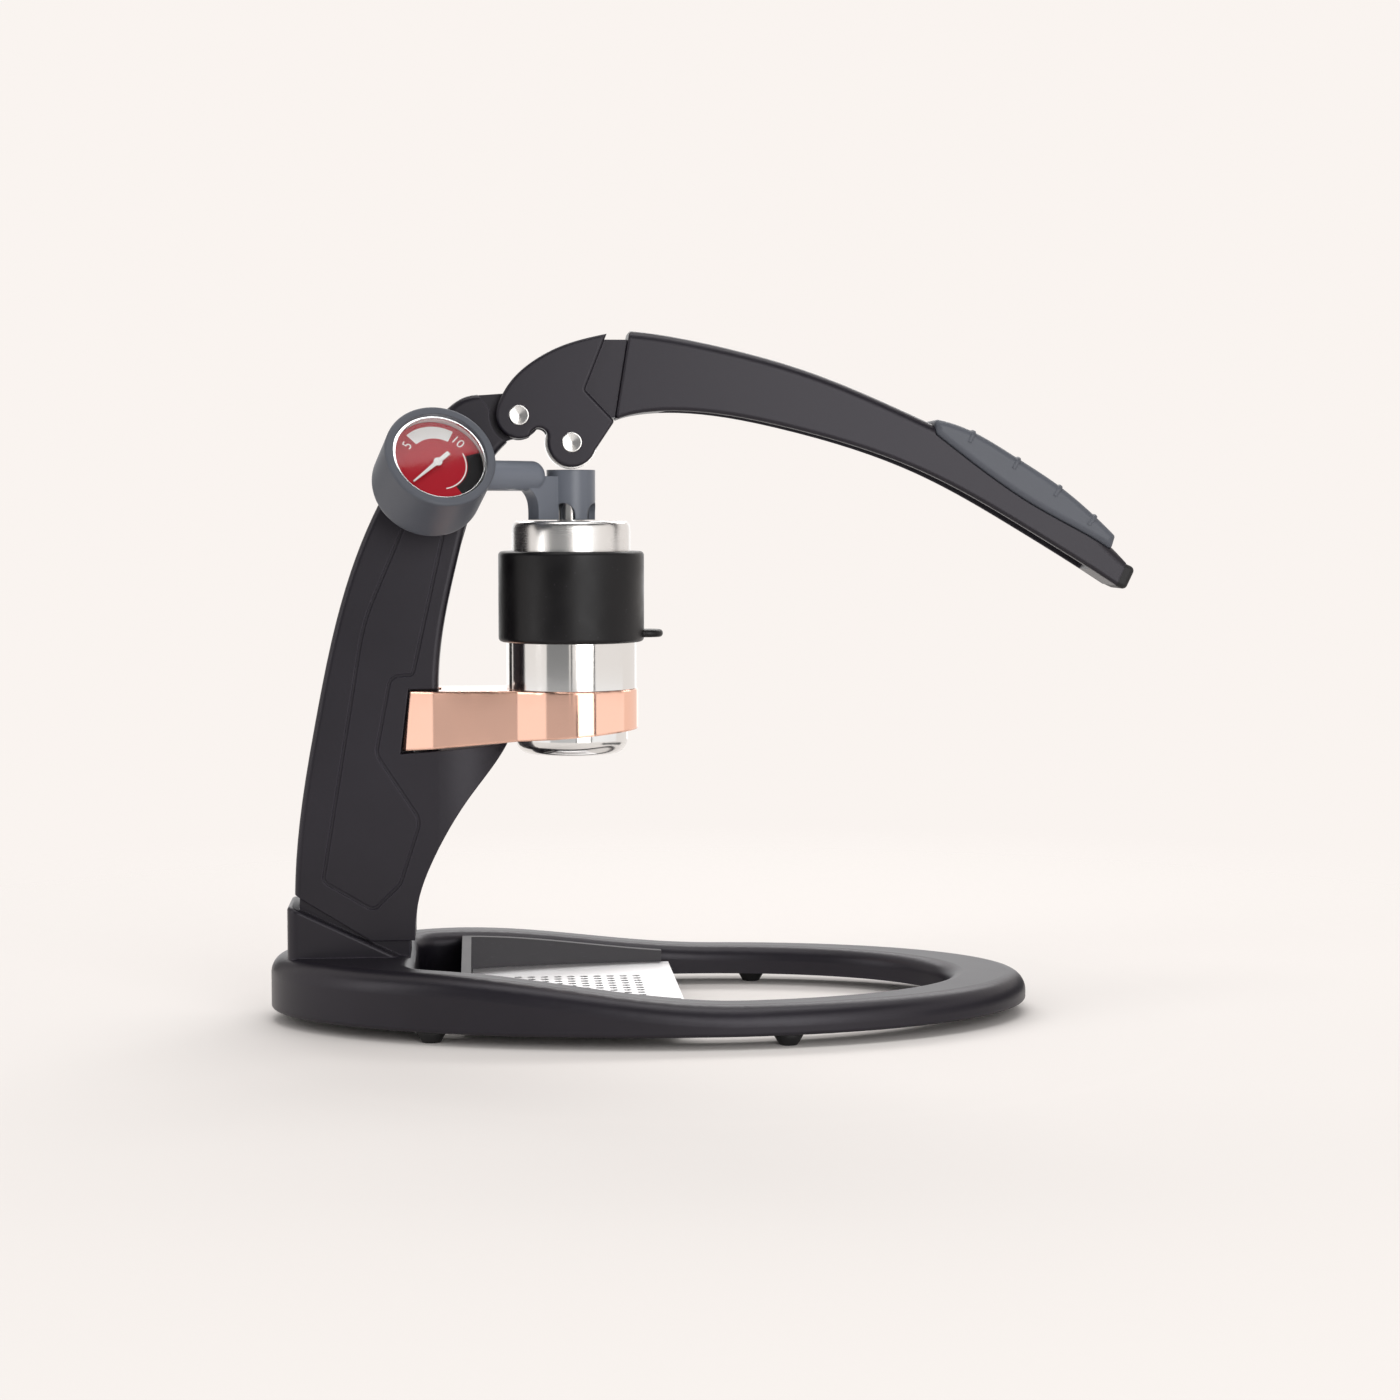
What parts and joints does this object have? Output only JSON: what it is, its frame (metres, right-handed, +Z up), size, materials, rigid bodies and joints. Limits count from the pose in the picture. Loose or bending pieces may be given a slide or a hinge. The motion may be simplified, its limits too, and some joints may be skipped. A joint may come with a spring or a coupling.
{
  "type": "manual lever espresso maker",
  "caption": "Manual lever espresso maker: looped base with drip tray, curved post, hand lever with roller, forked portafilter, brew cylinder, plunger and pressure gauge.",
  "frame": {"origin": "On the table under the middle of the whole machine, midway between the heel and the end of the lever", "axes": "+X from the heel to the front of the base, +Z up, +Y across, away from the side the gauge is on"},
  "size_m": [0.366, 0.169, 0.2882],
  "materials": {
    "black_coat": "satin powder coat",
    "black_plastic": "satin",
    "black_rubber": "matte",
    "black_silicone": "satin",
    "slate_rubber": "matte",
    "slate_plastic": "satin",
    "rose_metal": "polished rose plating",
    "brushed_steel": "brushed",
    "polished_steel": "polished, faint turning lines",
    "white_plastic": "satin",
    "brass": "turned",
    "chrome": "polished",
    "clear_lens": "clear",
    "dial_face": "printed",
    "needle_white": "satin"
  },
  "bodies": {
    "frame": {"base_frame": "black_coat", "feet": "black_rubber", "post": "black_coat", "pivot_bush": "brass", "knob_washer": "brushed_steel", "brew_cylinder": "polished_steel", "sleeve": "black_silicone", "dispersion_screen": "brushed_steel", "basket_gasket": "black_silicone"},
    "knob": {"post_knob": "black_plastic", "post_stud": "brushed_steel"},
    "tray": {"drip_tray": "black_plastic"},
    "grate": {"drip_grate": "brushed_steel"},
    "lever": {"lever_fork": "black_coat", "lever_arm": "black_coat", "grip": "slate_rubber", "end_cap": "black_rubber", "pivot_pin": "brushed_steel", "pusher_pin": "brushed_steel"},
    "roller": {"pusher_roller": "polished_steel"},
    "portafilter": {"portafilter": "rose_metal", "filter_basket": "polished_steel", "basket_floor": "polished_steel"},
    "plunger": {"piston": "white_plastic", "piston_seals": "black_silicone", "plunger_stem": "polished_steel", "piston_bolt": "brushed_steel"},
    "gauge": {"gauge_head": "slate_plastic", "gauge_boot": "slate_rubber", "gauge_case": "chrome", "gauge_bezel": "chrome", "gauge_lens": "clear_lens", "gauge_dial": "dial_face", "bourdon_tube": "brass", "gauge_movement": "brass"},
    "needle": {"gauge_needle": "needle_white"}
  },
  "joints": [
    {"name": "lever_hinge", "type": "hinge", "parent": "frame", "child": "lever", "pos_m": [-0.0779, 0, 0.2532], "axis": [0, 1, 0], "range_deg": [-17, 25]},
    {"name": "roller_spin", "type": "hinge", "parent": "lever", "child": "roller", "pos_m": [-0.05601, 0, 0.24209], "axis": [0, 1, 0], "continuous": true},
    {"name": "portafilter_slide", "type": "slide", "parent": "frame", "child": "portafilter", "axis": [1, 0, 0], "range_m": [0, 0.012]},
    {"name": "plunger_slide", "type": "slide", "parent": "frame", "child": "plunger", "axis": [0, 0, -1], "range_m": [-0.0062, 0.009]},
    {"name": "gauge_turn", "type": "hinge", "parent": "plunger", "child": "gauge", "pos_m": [-0.05601, 0, 0.225], "axis": [0, 0, 1], "range_deg": [0, 110]},
    {"name": "needle_turn", "type": "hinge", "parent": "gauge", "child": "needle", "pos_m": [-0.1097, -0.0512, 0.2358], "axis": [-0.246, 0.8384, -0.4863], "range_deg": [0, 270]},
    {"name": "tray_lift", "type": "slide", "parent": "frame", "child": "tray", "axis": [0, 0, 1], "range_m": [0, 0.025]},
    {"name": "grate_lift", "type": "slide", "parent": "tray", "child": "grate", "axis": [0, 0, 1], "range_m": [0, 0.02]},
    {"name": "knob_turn", "type": "hinge", "parent": "frame", "child": "knob", "pos_m": [-0.15, 0, 0.01], "axis": [0, 0, 1], "continuous": true}
  ],
  "couplings": [
    {"joint": "plunger_slide", "follows": "lever_hinge", "m_per_rad": 0.02034}
  ]
}
